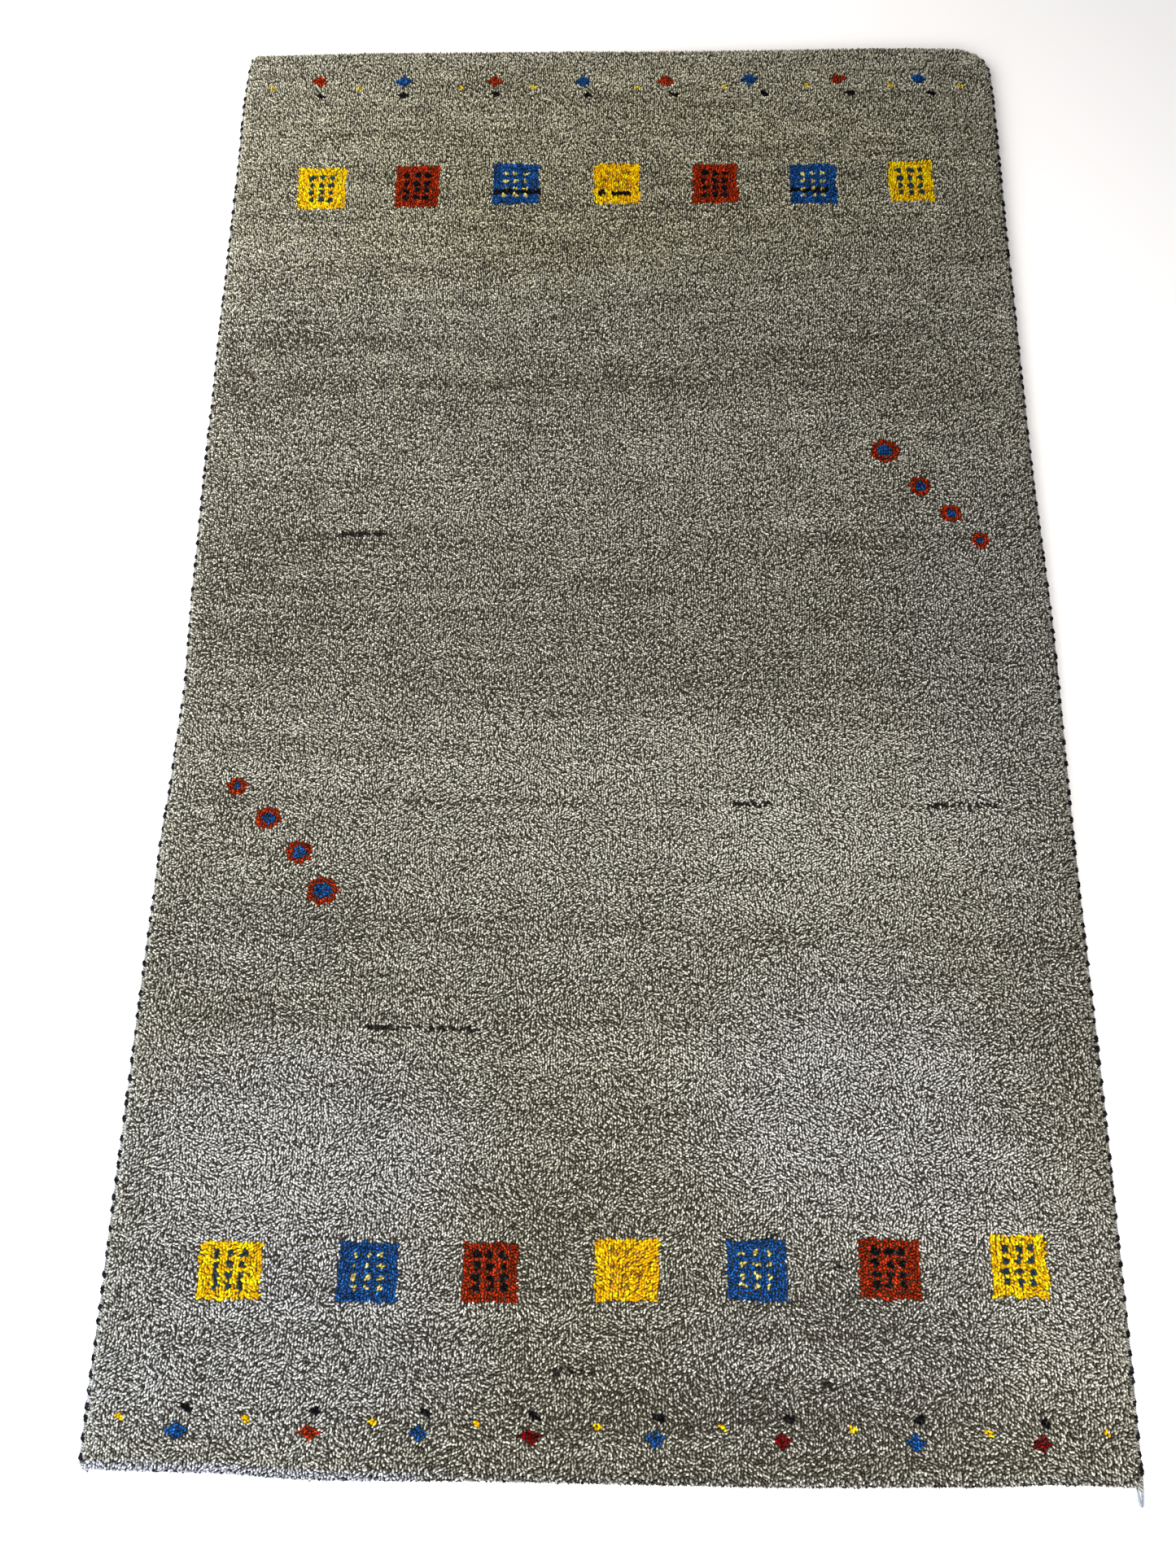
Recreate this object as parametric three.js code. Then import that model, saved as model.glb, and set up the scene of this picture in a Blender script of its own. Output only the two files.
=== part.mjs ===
// A small hand-knotted wool rug lying flat: a thick knotted pile body, cut level, with a cord of
// overcast yarn bound to each long side. One loose yarn end sticks out of the cord at the near
// right corner. Millimetres, +Z up, +Y from the near end to the far end, the floor at Z = 0.

import * as THREE from "three";

// Overall sizes
const WIDTH = 922; // across both side cords
const LENGTH = 1590; // between the tips of the pile at both ends
const THICKNESS = 13; // from the floor to the cut tips of the pile

// Side cords
const CORD_WIDTH = 7;
const CORD_HEIGHT = 6.5;
const CORD_SIDES = 8;
const CORD_SEAT = 0.3; // clearance between the cord and the woven edge beside it

// How a cord ends past its last full section, each row a section that far beyond it
const CORD_TIP = [
  { beyond: 2, inward: 0, width: 6.6, height: 6.1 },
  { beyond: 4, inward: 0, width: 5.2, height: 4.8 },
  { beyond: 6, inward: 0, width: 2.9, height: 2.7 },
];
// The same at the near right corner, where the cord runs out into a loose yarn end
const LOOSE_END = [
  { beyond: 3.5, inward: -0.2, width: 6.8, height: 6 },
  { beyond: 6, inward: -0.5, width: 5.6, height: 5 },
  { beyond: 8.5, inward: -1, width: 3.8, height: 3.8 },
  { beyond: 11.5, inward: -1.6, width: 3, height: 3 },
  { beyond: 14.5, inward: -1.7, width: 2.6, height: 2.6 },
  { beyond: 17, inward: -1.5, width: 1.4, height: 1.6 },
];

// The pile leans out past the woven edge. Its outermost line, the lip, is at the height lip, and
// below it the outline returns to the woven edge in steps, each that far in from the lip
const SIDE_RIM = {
  lip: 9,
  steps: [
    { inset: 0.6, z: 7.4 },
    { inset: 3, z: 6.9 },
    { inset: 3, z: 0 },
  ],
};
const END_RIM = {
  lip: 5.5,
  steps: [
    { inset: 1.8, z: 2.6 },
    { inset: 5, z: 1.2 },
    { inset: 5, z: 0 },
  ],
};
const SHOULDER = 14; // width over which the pile rises from its lip to full height
const RIM_BLEND = 12; // length past a corner over which the side rim turns into the end rim

// Corners of the pile's outline, by the signs of X and Y. A cord follows a corner until the X share
// of the outline's normal falls to cordUntil, and then runs on straight.
const CORNERS = [
  { x: -1, y: -1, radius: 9, cordUntil: 0.74, cordEnd: CORD_TIP },
  { x: 1, y: -1, radius: 6, cordUntil: 0.98, cordEnd: LOOSE_END },
  { x: -1, y: 1, radius: 14, cordUntil: 0.74, cordEnd: CORD_TIP },
  { x: 1, y: 1, radius: 40, cordUntil: 0.74, cordEnd: CORD_TIP },
];

// How far each edge wanders out from its straight line, from one end of the edge to the other
const LEFT_EDGE = [
  { at: -795, out: 3.5 },
  { at: -600, out: 2 },
  { at: -420, out: 0.5 },
  { at: -240, out: -1.5 },
  { at: -150, out: -5 },
  { at: -60, out: -7 },
  { at: 60, out: -3 },
  { at: 240, out: 0 },
  { at: 420, out: 2 },
  { at: 600, out: 3 },
  { at: 720, out: 5 },
  { at: 795, out: 3 },
];
const RIGHT_EDGE = [
  { at: -795, out: -1.5 },
  { at: -660, out: 0 },
  { at: -480, out: 1 },
  { at: -240, out: 0 },
  { at: 0, out: 2.5 },
  { at: 240, out: -1 },
  { at: 480, out: -0.5 },
  { at: 720, out: 1.5 },
  { at: 795, out: 0 },
];
const NEAR_EDGE = [
  { at: -460, out: -2 },
  { at: -350, out: -1 },
  { at: -250, out: 3 },
  { at: -100, out: 1.5 },
  { at: 150, out: 2 },
  { at: 300, out: -0.5 },
  { at: 400, out: -4 },
  { at: 460, out: -3 },
];
const FAR_EDGE = [
  { at: -460, out: -3.5 },
  { at: -300, out: 0.5 },
  { at: -50, out: 1 },
  { at: 150, out: 0.5 },
  { at: 350, out: 3 },
  { at: 460, out: 1 },
];

// Slow waves in the pile's level where the rug doesn't lie dead flat
const WAVES = [
  { height: 0.45, longX: 610, longY: 430, phase: 0.4 },
  { height: 0.35, longX: -330, longY: 520, phase: 2.1 },
  { height: 0.2, longX: 210, longY: -260, phase: 4.3 },
];

// Grid over the pile's top: lines close to the edge, then an even pitch
const EDGE_LINES = [0, 2, 5, 9, 14, 22];
const GRID_PITCH = 40;

// A cord's middle is this far out from the pile's lip
const CORD_OUT = CORD_SEAT + CORD_WIDTH / 2 - SIDE_RIM.steps[1].inset;

// Half the pile's plain rectangle at its lip
const HALF_X = WIDTH / 2 - CORD_WIDTH / 2 - CORD_OUT;
const HALF_Y = LENGTH / 2;

const wool = new THREE.MeshStandardMaterial({ color: 0x8d887b, roughness: 0.95, metalness: 0 });
const cordYarn = new THREE.MeshStandardMaterial({ color: 0x6b6a66, roughness: 0.95, metalness: 0 });

// Smooth value of an edge table at a place along the edge
function wander(table, at) {
  if (at <= table[0].at) return table[0].out;
  for (let i = 1; i < table.length; i++) {
    const a = table[i - 1];
    const b = table[i];
    if (at <= b.at) return a.out + (b.out - a.out) * THREE.MathUtils.smoothstep(at, a.at, b.at);
  }
  return table[table.length - 1].out;
}

// Lines across one direction of the top grid, from -half to +half
function gridLines(half) {
  const inner = half - EDGE_LINES[EDGE_LINES.length - 1];
  const count = Math.round((2 * inner) / GRID_PITCH);
  const lines = EDGE_LINES.map((d) => -half + d);
  for (let i = 1; i < count; i++) lines.push(-inner + (2 * inner * i) / count);
  for (const d of [...EDGE_LINES].reverse()) lines.push(half - d);
  return lines;
}

// A point of the plain rectangle moved to its place in the real outline
function placed(x, y) {
  let px = x;
  let py = y;
  for (const corner of CORNERS) {
    const dx = x * corner.x - (HALF_X - corner.radius);
    const dy = y * corner.y - (HALF_Y - corner.radius);
    if (dx > 0 && dy > 0) {
      const pull = Math.max(dx, dy) / Math.hypot(dx, dy);
      px = corner.x * (HALF_X - corner.radius + dx * pull);
      py = corner.y * (HALF_Y - corner.radius + dy * pull);
    }
  }
  const outX = wander(x < 0 ? LEFT_EDGE : RIGHT_EDGE, py) * (x / HALF_X);
  const outY = wander(y < 0 ? NEAR_EDGE : FAR_EDGE, px) * (y / HALF_Y);
  return new THREE.Vector2(px + outX, py + outY);
}

// How much of a rim place belongs to a long side rather than to an end
function sideShare(x, y) {
  const fromSide = HALF_X - Math.abs(x);
  const fromEnd = HALF_Y - Math.abs(y);
  return 1 - THREE.MathUtils.smoothstep(fromSide - fromEnd, 0, RIM_BLEND);
}

function topHeight(x, y) {
  const share = sideShare(x, y);
  const lip = THREE.MathUtils.lerp(END_RIM.lip, SIDE_RIM.lip, share);
  const inward = Math.min(1, Math.min(HALF_X - Math.abs(x), HALF_Y - Math.abs(y)) / SHOULDER);
  const rise = Math.sqrt(1 - (1 - inward) ** 2);
  let wave = 0;
  for (const w of WAVES) {
    wave += w.height * Math.sin(2 * Math.PI * (x / w.longX + y / w.longY) + w.phase);
  }
  return lip + (THICKNESS - lip + wave) * rise;
}

// The rim places of the plain rectangle, once round, counter-clockwise from the near left corner
function rimPlaces(linesX, linesY) {
  const lastX = linesX.length - 1;
  const lastY = linesY.length - 1;
  const places = [];
  for (let i = 0; i < lastX; i++) places.push([i, 0]);
  for (let j = 0; j < lastY; j++) places.push([lastX, j]);
  for (let i = lastX; i > 0; i--) places.push([i, lastY]);
  for (let j = lastY; j > 0; j--) places.push([0, j]);
  return places;
}

// Outward directions of a closed loop of points
function outwardNormals(loop) {
  return loop.map((point, i) => {
    const before = loop[(i + loop.length - 1) % loop.length];
    const after = loop[(i + 1) % loop.length];
    const along = after.clone().sub(before).normalize();
    return new THREE.Vector2(along.y, -along.x);
  });
}

function solidGeometry(points, faces) {
  const geometry = new THREE.BufferGeometry();
  const positions = points.flatMap((p) => [p.x, p.y, p.z]);
  geometry.setAttribute("position", new THREE.Float32BufferAttribute(positions, 3));
  geometry.setIndex(faces);
  geometry.computeVertexNormals();
  return geometry;
}

// The lip of the pile, once round, with its outward normals and side shares
function pileRim(linesX, linesY) {
  const places = rimPlaces(linesX, linesY);
  const loop = places.map(([i, j]) => placed(linesX[i], linesY[j]));
  const shares = places.map(([i, j]) => sideShare(linesX[i], linesY[j]));
  return { places, loop, normals: outwardNormals(loop), shares };
}

// Pile body: the gridded top, the rim that returns under the lip, and a flat underside
function pileBody(linesX, linesY, rim) {
  const points = [];
  const faces = [];
  const columns = linesX.length;
  for (const y of linesY) {
    for (const x of linesX) {
      const p = placed(x, y);
      points.push(new THREE.Vector3(p.x, p.y, topHeight(x, y)));
    }
  }
  for (let j = 0; j + 1 < linesY.length; j++) {
    for (let i = 0; i + 1 < columns; i++) {
      const a = j * columns + i;
      const b = a + columns;
      faces.push(a, a + 1, b + 1, a, b + 1, b);
    }
  }
  const count = rim.loop.length;
  let upper = rim.places.map(([i, j]) => j * columns + i);
  SIDE_RIM.steps.forEach((side, step) => {
    const end = END_RIM.steps[step];
    const first = points.length;
    rim.loop.forEach((p, k) => {
      const inset = THREE.MathUtils.lerp(end.inset, side.inset, rim.shares[k]);
      const z = THREE.MathUtils.lerp(end.z, side.z, rim.shares[k]);
      const at = p.clone().addScaledVector(rim.normals[k], -inset);
      points.push(new THREE.Vector3(at.x, at.y, z));
    });
    const lower = rim.loop.map((_, k) => first + k);
    for (let k = 0; k < count; k++) {
      const next = (k + 1) % count;
      faces.push(upper[k], lower[k], lower[next], upper[k], lower[next], upper[next]);
    }
    upper = lower;
  });
  const floorLoop = upper.map((index) => new THREE.Vector2(points[index].x, points[index].y));
  for (const [a, b, c] of THREE.ShapeUtils.triangulateShape(floorLoop, [])) {
    faces.push(upper[c], upper[b], upper[a]);
  }
  return solidGeometry(points, faces);
}

// The centre line of one side's cord in the plan, from the near end to the far end
function cordLine(rim, side) {
  const line = [];
  rim.loop.forEach((p, k) => {
    const normal = rim.normals[k];
    const corner = CORNERS.find((c) => c.x === side && c.y === Math.sign(p.y));
    if (normal.x * side > corner.cordUntil) line.push(p.clone().addScaledVector(normal, CORD_OUT));
  });
  return line.sort((a, b) => a.y - b.y);
}

// Sections past one end of a cord's line, from the end outwards
function endSections(rows, end, inner, side) {
  const along = end.clone().sub(inner).normalize();
  const inwards = new THREE.Vector2(-side, 0);
  return rows.map((row) => ({
    at: end.clone().addScaledVector(along, row.beyond).addScaledVector(inwards, row.inward),
    width: row.width,
    height: row.height,
  }));
}

// A closed tube through upright oval sections, each with a flat facet on the floor
function loft(sections) {
  const points = [];
  const faces = [];
  const turn = Math.PI / CORD_SIDES;
  const flat = Math.cos(turn);
  sections.forEach((section, s) => {
    const before = sections[Math.max(0, s - 1)].at;
    const after = sections[Math.min(sections.length - 1, s + 1)].at;
    const along = after.clone().sub(before).normalize();
    const across = new THREE.Vector2(along.y, -along.x);
    for (let k = 0; k < CORD_SIDES; k++) {
      const angle = turn * (2 * k + 1);
      const reach = (section.width / 2) * (Math.cos(angle) / flat);
      const at = section.at.clone().addScaledVector(across, reach);
      const z = (section.height / 2) * (1 + Math.sin(angle) / flat);
      points.push(new THREE.Vector3(at.x, at.y, z));
    }
  });
  const ring = (s, k) => s * CORD_SIDES + (k % CORD_SIDES);
  for (let s = 0; s + 1 < sections.length; s++) {
    for (let k = 0; k < CORD_SIDES; k++) {
      faces.push(ring(s, k), ring(s + 1, k + 1), ring(s, k + 1));
      faces.push(ring(s, k), ring(s + 1, k), ring(s + 1, k + 1));
    }
  }
  const last = sections.length - 1;
  for (let k = 1; k + 1 < CORD_SIDES; k++) {
    faces.push(ring(0, 0), ring(0, k), ring(0, k + 1));
    faces.push(ring(last, 0), ring(last, k + 1), ring(last, k));
  }
  return solidGeometry(points, faces);
}

function sideCord(rim, side) {
  const line = cordLine(rim, side);
  const full = line.map((at) => ({ at, width: CORD_WIDTH, height: CORD_HEIGHT }));
  const [near, far] = [-1, 1].map((y) => CORNERS.find((c) => c.x === side && c.y === y).cordEnd);
  const before = endSections(near, line[0], line[1], side).reverse();
  const after = endSections(far, line[line.length - 1], line[line.length - 2], side);
  return loft([...before, ...full, ...after]);
}

function named(name, geometry, material) {
  const mesh = new THREE.Mesh(geometry, material);
  mesh.name = name;
  return mesh;
}

const linesX = gridLines(HALF_X);
const linesY = gridLines(HALF_Y);
const rim = pileRim(linesX, linesY);

const rug = new THREE.Group();
rug.add(named("pile_body", pileBody(linesX, linesY, rim), wool));
rug.add(named("side_cord_left", sideCord(rim, -1), cordYarn));
rug.add(named("side_cord_right", sideCord(rim, 1), cordYarn));

// The origin is the middle of the rug's footprint
const footprint = new THREE.Box3().setFromObject(rug).getCenter(new THREE.Vector3());
rug.position.set(-footprint.x, -footprint.y, 0);

export default rug;
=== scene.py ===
# A small gabbeh rug lying on a pale studio floor: a knotted wool pile cut level over a woven
# ground, charted with squares, diamonds and rosettes, its long sides bound with wool cords.
# The making works in millimetres of the rug's own frame, and objects are built in metres.

import math
from collections import namedtuple
from itertools import starmap

import bpy
import numpy as np
from mathutils import Matrix, Vector


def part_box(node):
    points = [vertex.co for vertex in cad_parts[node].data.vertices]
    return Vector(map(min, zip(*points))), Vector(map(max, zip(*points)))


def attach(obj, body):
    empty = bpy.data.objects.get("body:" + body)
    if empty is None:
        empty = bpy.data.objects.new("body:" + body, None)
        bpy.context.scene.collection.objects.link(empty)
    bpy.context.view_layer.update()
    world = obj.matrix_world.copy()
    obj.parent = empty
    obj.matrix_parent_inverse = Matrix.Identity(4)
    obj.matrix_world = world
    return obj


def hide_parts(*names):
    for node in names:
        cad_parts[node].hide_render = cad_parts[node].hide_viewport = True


MM = 0.001
SEED = 11

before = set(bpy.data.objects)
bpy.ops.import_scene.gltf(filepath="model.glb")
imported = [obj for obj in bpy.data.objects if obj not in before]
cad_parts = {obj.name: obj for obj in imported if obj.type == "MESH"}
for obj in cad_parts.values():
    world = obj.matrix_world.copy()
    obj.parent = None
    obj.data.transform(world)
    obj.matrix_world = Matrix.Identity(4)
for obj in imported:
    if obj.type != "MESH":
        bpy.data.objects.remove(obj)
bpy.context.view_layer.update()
rng = np.random.default_rng(SEED)

# Overall sizes, as in the solids
WIDTH = 922.0
LENGTH = 1590.0
THICKNESS = 13.0
CORD_WIDTH = 7.0
CORD_HEIGHT = 6.5
CORD_OUT = 0.8  # from the pile's lip to the middle of a side cord
HALF_X = WIDTH / 2 - CORD_WIDTH / 2 - CORD_OUT
HALF_Y = LENGTH / 2
SHOULDER = 14.0  # width over which the pile rises from its lip to full height
RIM_BLEND = 12.0  # width over which the rim at a corner turns from a side's into an end's

# The outline below the lip, each step a distance in from the lip and a height
SIDE_LIP, END_LIP = 9.0, 5.5
SIDE_STEPS = ((0.6, 7.4), (3.0, 6.9), (3.4, 0.4))
END_STEPS = ((1.8, 2.6), (4.0, 1.2), (5.0, 0.4))

Corner = namedtuple("Corner", "x y radius cord_until")
CORNERS = (
    Corner(-1, -1, 9.0, 0.74),
    Corner(1, -1, 6.0, 0.98),
    Corner(-1, 1, 14.0, 0.74),
    Corner(1, 1, 40.0, 0.74),
)

# How far each edge wanders out from its straight line: place along the edge, distance out
LEFT_EDGE = (
    (-795, 3.5), (-600, 2), (-420, 0.5), (-240, -1.5), (-150, -5), (-60, -7),
    (60, -3), (240, 0), (420, 2), (600, 3), (720, 5), (795, 3),
)
RIGHT_EDGE = (
    (-795, -1.5), (-660, 0), (-480, 1), (-240, 0), (0, 2.5), (240, -1), (480, -0.5),
    (720, 1.5), (795, 0),
)
NEAR_EDGE = (
    (-460, -2), (-350, -1), (-250, 3), (-100, 1.5), (150, 2), (300, -0.5), (400, -4),
    (460, -3),
)
FAR_EDGE = ((-460, -3.5), (-300, 0.5), (-50, 1), (150, 0.5), (350, 3), (460, 1))

Wave = namedtuple("Wave", "height long_x long_y phase")
WAVES = (Wave(0.45, 610, 430, 0.4), Wave(0.35, -330, 520, 2.1), Wave(0.2, 210, -260, 4.3))

# The pile's cut tufts, each a small pyramid on a sunken foot
TUFT_ACROSS, TUFT_ALONG = 2.56, 2.74  # spacing across the rug and along it
TUFT_DEPTH = 2.5  # from the level of the pile down to the feet
TUFT_PROUD = 0.6  # from the level of the pile up to the cut ends
FOOT_HALF_LONG, FOOT_HALF_WIDE = 2.15, 1.3
TUFT_SPREAD = 0.7  # how far a tuft's colour shows past its middle
PILE_BANDS = 5

# As a power, this leaves a colour's fourth value, the share that painted shade leaves at the foot,
# alone
COLOUR_ONLY = np.array((1.0, 1.0, 1.0, 0.0))


# The rug's outline and level


def wander(table, at):
    """Smooth value of an edge table at places along the edge."""
    places, outs = (np.array(column, float) for column in zip(*table))
    k = np.clip(np.searchsorted(places, at) - 1, 0, len(places) - 2)
    t = np.clip((at - places[k]) / (places[k + 1] - places[k]), 0, 1)
    return outs[k] + (outs[k + 1] - outs[k]) * t * t * (3 - 2 * t)


def placed(u, v):
    """Points of the plain rectangle moved to the rug's real outline."""
    x, y = u.copy(), v.copy()
    for corner in CORNERS:
        middle_x = corner.x * (HALF_X - corner.radius)
        middle_y = corner.y * (HALF_Y - corner.radius)
        dx, dy = (u - middle_x) * corner.x, (v - middle_y) * corner.y
        inside = (dx > 0) & (dy > 0)
        pull = np.maximum(dx, dy) / np.maximum(np.hypot(dx, dy), 1e-9)
        x = np.where(inside, middle_x + corner.x * dx * pull, x)
        y = np.where(inside, middle_y + corner.y * dy * pull, y)
    out_x = np.where(u < 0, wander(LEFT_EDGE, y), wander(RIGHT_EDGE, y)) * u / HALF_X
    out_y = np.where(v < 0, wander(NEAR_EDGE, x), wander(FAR_EDGE, x)) * v / HALF_Y
    return x + out_x, y + out_y


def smooth(t):
    t = np.clip(t, 0, 1)
    return t * t * (3 - 2 * t)


def side_share(u, v):
    """How much of a place at the rim belongs to a long side rather than to an end."""
    from_side, from_end = HALF_X - np.abs(u), HALF_Y - np.abs(v)
    return 1 - smooth((from_side - from_end) / RIM_BLEND)


def level(u, v):
    """Height of the pile over the plain rectangle."""
    lip = END_LIP + (SIDE_LIP - END_LIP) * side_share(u, v)
    inward = np.minimum(HALF_X - np.abs(u), HALF_Y - np.abs(v)) / SHOULDER
    rise = np.sqrt(1 - (1 - np.clip(inward, 0, 1)) ** 2)
    wave = sum(
        w.height * np.sin(2 * np.pi * (u / w.long_x + v / w.long_y) + w.phase) for w in WAVES
    )
    return lip + (THICKNESS - lip + wave) * rise


def unit(a):
    return a / np.maximum(np.linalg.norm(a, axis=-1, keepdims=True), 1e-9)


def surface(u, v):
    """Points on the pile's level, about the middle of the outline."""
    x, y = placed(u, v)
    return np.stack([x, y, level(u, v)], -1)


def surface_normals(u, v, step=0.6):
    low_u, high_u = np.clip(u - step, -HALF_X, HALF_X), np.clip(u + step, -HALF_X, HALF_X)
    low_v, high_v = np.clip(v - step, -HALF_Y, HALF_Y), np.clip(v + step, -HALF_Y, HALF_Y)
    along_u = surface(high_u, v) - surface(low_u, v)
    along_v = surface(u, high_v) - surface(u, low_v)
    return unit(np.cross(along_u, along_v))


def rim_loop(pitch):
    """Plain coordinates once round the rectangle, counter-clockwise, about a pitch apart."""
    count_x, count_y = round(2 * HALF_X / pitch), round(2 * HALF_Y / pitch)
    along_x = np.linspace(-HALF_X, HALF_X, count_x + 1)[:-1]
    along_y = np.linspace(-HALF_Y, HALF_Y, count_y + 1)[:-1]
    u = np.concatenate([along_x, np.full(count_y, HALF_X), -along_x, np.full(count_y, -HALF_X)])
    v = np.concatenate([np.full(count_x, -HALF_Y), along_y, np.full(count_x, HALF_Y), -along_y])
    return u, v


def outward(points):
    """Level outward directions of a closed counter-clockwise loop."""
    along = np.roll(points, -1, 0) - np.roll(points, 1, 0)
    return unit(np.stack([along[:, 1], -along[:, 0]], -1))


# Where the middle of the outline lies in the frame
low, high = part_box("pile_body")
loop_x, loop_y = placed(*rim_loop(3.0))
MIDDLE = np.array([
    (low.x + high.x) / 2 / MM - (loop_x.min() + loop_x.max()) / 2,
    (low.y + high.y) / 2 / MM - (loop_y.min() + loop_y.max()) / 2,
    0.0,
])


# The chart of colours, about the middle of the outline

# Each yarn's colour at its cut end, and how much of it painted shade leaves down at its foot
YARNS = {
    "yellow": (0.96, 0.51, 0.005, 0.4),
    "gold": (0.88, 0.435, 0.004, 0.4),
    "red": (0.38, 0.029, 0.006, 0.03),
    "dark red": (0.17, 0.004, 0.005, 0.02),
    "blue": (0.013, 0.084, 0.30, 0.05),
    "lemon": (0.74, 0.52, 0.05, 0.3),
    "black": (0.005, 0.006, 0.008, 0.3),
    "pale": (0.66, 0.55, 0.17, 0.3),
    "slate": (0.022, 0.045, 0.065, 0.3),
    "soot": (0.022, 0.02, 0.017, 0.3),
    "brown": (0.10, 0.085, 0.06, 0.2),
    "ochre": (0.40, 0.20, 0.02, 0.3),
}
YARN_NAMES = list(YARNS)
HEATHER = 0.29  # how far single tufts of the field stray from light to dark
DYE_STRAY = 0.38  # how far single dyed tufts stray, as a logarithm
DARKEST = 0.004
FIELD_DARK = (0.105, 0.092, 0.066, 0.02)
FIELD_LIGHT = (0.97, 0.94, 0.79, 0.02)

# Squares: middle, size, colour
Square = namedtuple("Square", "x y wide tall yarn")
SQUARES = tuple(starmap(Square, (
    (-355.5, 581.5, 59, 61.5, "yellow"), (-240, 583, 53.5, 61.5, "red"),
    (-121.5, 586.5, 56, 60.5, "blue"), (-0.5, 586.5, 56, 60.5, "gold"), (117, 586, 55, 59.5, "red"),
    (234.5, 585.5, 56, 58.5, "blue"), (350.5, 588.5, 53, 60.5, "yellow"),
    (-345, -629, 59, 49.8, "yellow"), (-219.5, -628.5, 55, 51.8, "blue"),
    (-108, -627, 52, 51.8, "red"), (14.5, -623.5, 59, 53.8, "gold"),
    (131.5, -622, 55, 52.8, "blue"), (251, -619.5, 56, 51.8, "red"),
    (367, -615.5, 51, 53.8, "yellow"),
)))

# The dots in a square of each colour: their colour and size
DOTS = {
    "yellow": ("slate", 7.6, 8.6), "red": ("black", 9.0, 8.0), "blue": ("pale", 7.4, 6.0),
    "gold": ("ochre", 7.6, 6.6),
}
DOT_COLUMNS = (-12.5, -0.3, 11.3)
DOT_ROWS_FAR = (15.8, 4.6, -6.2, -16.4)
DOT_ROWS_NEAR = (14.2, 4.8, -4.6, -12.8)
DOT_SWELL_FAR = 1.1
OCHRE_SHARE = 0.8  # share of the knots that show in the faint ochre dots

# Dark bars knotted through three of the far squares: middle, size
Bar = namedtuple("Bar", "x y wide tall")
BARS = (
    Bar(-120.5, 574.5, 58, 8.6), Bar(229.5, 576.5, 48, 8.2),
    Bar(-17, 572.5, 10, 8.4), Bar(-2, 572, 11, 7), Bar(10.5, 572, 14, 7.6),
)
BAR_SHARE = 0.97

# Small marks: middle, size, colour
Mark = namedtuple("Mark", "x y wide tall yarn")
FAR_DIAMONDS = tuple(
    Mark(x, 744, 21.5, 17.5, yarn)
    for x, yarn in zip((-370, -265.5, -152, -43, 59.5, 163, 271.5, 370), 4 * ("red", "blue"))
)
NEAR_DIAMONDS = tuple(
    Mark(x, -759, wide, 14.5, yarn)
    for x, wide, yarn in (
        (-380, 22, "blue"), (-263.5, 23, "red"), (-166, 16, "blue"), (-69.5, 19, "dark red"),
        (40, 20, "blue"), (150, 18, "dark red"), (264.5, 19, "blue"), (374, 18, "dark red"),
    )
)
DIAMOND_REACH = 0.56  # from a diamond's middle to its points, as a share of its size

# Rows of spots: place along the rug, size, colour, and the places across
SPOT_ROWS = (
    (722, 12, 9.5, "black", (-368, -265.5, -151, -36, 70.5, 181, 285.5, 383)),
    (734, 9.5, 9, "lemon", (-428.5, -321, -195, -104.5, 23, 131.5, 232.5, 334, 419.5)),
    (-742, 11, 8.5, "black", (-372, -258.5, -160.5, -65.5, 43.5, 156, 269.5, 378.5)),
    (-750, 8.5, 7.5, "yellow", (-430.5, -318, -207, -115.5, -10, 99.5, 212, 328, 429.5)),
)
SPOT_LEAN = 0.5  # how far a spot leans, across the rug for each step along it

# Rosettes: middle, size of the red ring, size of the blue heart
Rosette = namedtuple("Rosette", "x y wide tall heart_wide heart_tall")
ROSETTES = tuple(starmap(Rosette, (
    (297.5, 220, 34, 29, 19, 16), (332.5, 177, 25, 25, 12, 13), (364, 143.5, 26, 23, 12, 12.5),
    (393, 110.5, 20, 20, 8, 10), (-383.5, -171, 23, 19, 8.5, 9.5), (-349, -204, 28, 24, 15, 14),
    (-314.5, -239, 28, 24, 16, 13), (-287.5, -278.5, 34, 28, 21, 17),
)))
LOBES, LOBE_DEPTH = 7, 0.035  # of the red ring

# Short dark dashes where a darker yarn was knotted in: ends, height along the rug, share of knots
Dash = namedtuple("Dash", "x0 x1 y tall share")
DASHES = tuple(starmap(Dash, (
    (-301, -253, 116.5, 4.6, 0.85), (-235, -212, -410.5, 4, 0.95), (-212, -126, -411.5, 4.0, 0.5),
    (-212, -28, -186, 4.4, 0.34), (120, 161, -186, 4.8, 0.75), (312, 383, -186, 4.4, 0.6),
    (174, 229, -537, 5, 0.25), (187, 197, -716, 6, 0.95), (201, 208, -618.5, 5, 0.6),
    (-52, -43, -709, 6.5, 0.95), (-40, -8, -708, 4.5, 0.36), (-288, -170, -601, 5.5, 0.34),
    (140, 151, -594.5, 5, 0.5),
)))
FAINT_DASH = 0.35  # a dash with a smaller share is brown, the others are black

# Streaks of the undyed wool: strength at the near end, what the far part adds to it, where along
# the rug that begins and how far it takes, the streaks' length and height, and their seed
Streaks = namedtuple("Streaks", "near added begins takes long tall seed")
STREAKS = tuple(starmap(Streaks, (
    (0.07, 0.0, 0, 1, 170, 6, 1), (0.05, 0.0, 0, 1, 60, 4, 2), (0.04, 0.0, 0, 1, 26, 18, 3),
    (0.03, 0.0, 0, 1, 9, 9, 4), (0.04, 0.08, 200, 300, 80, 3.4, 6), (0.0, 0.13, -400, 900, 7, 4.5, 7),
)))
FIELD_TONE = 0.405  # the field's mean place between dark and light

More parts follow.
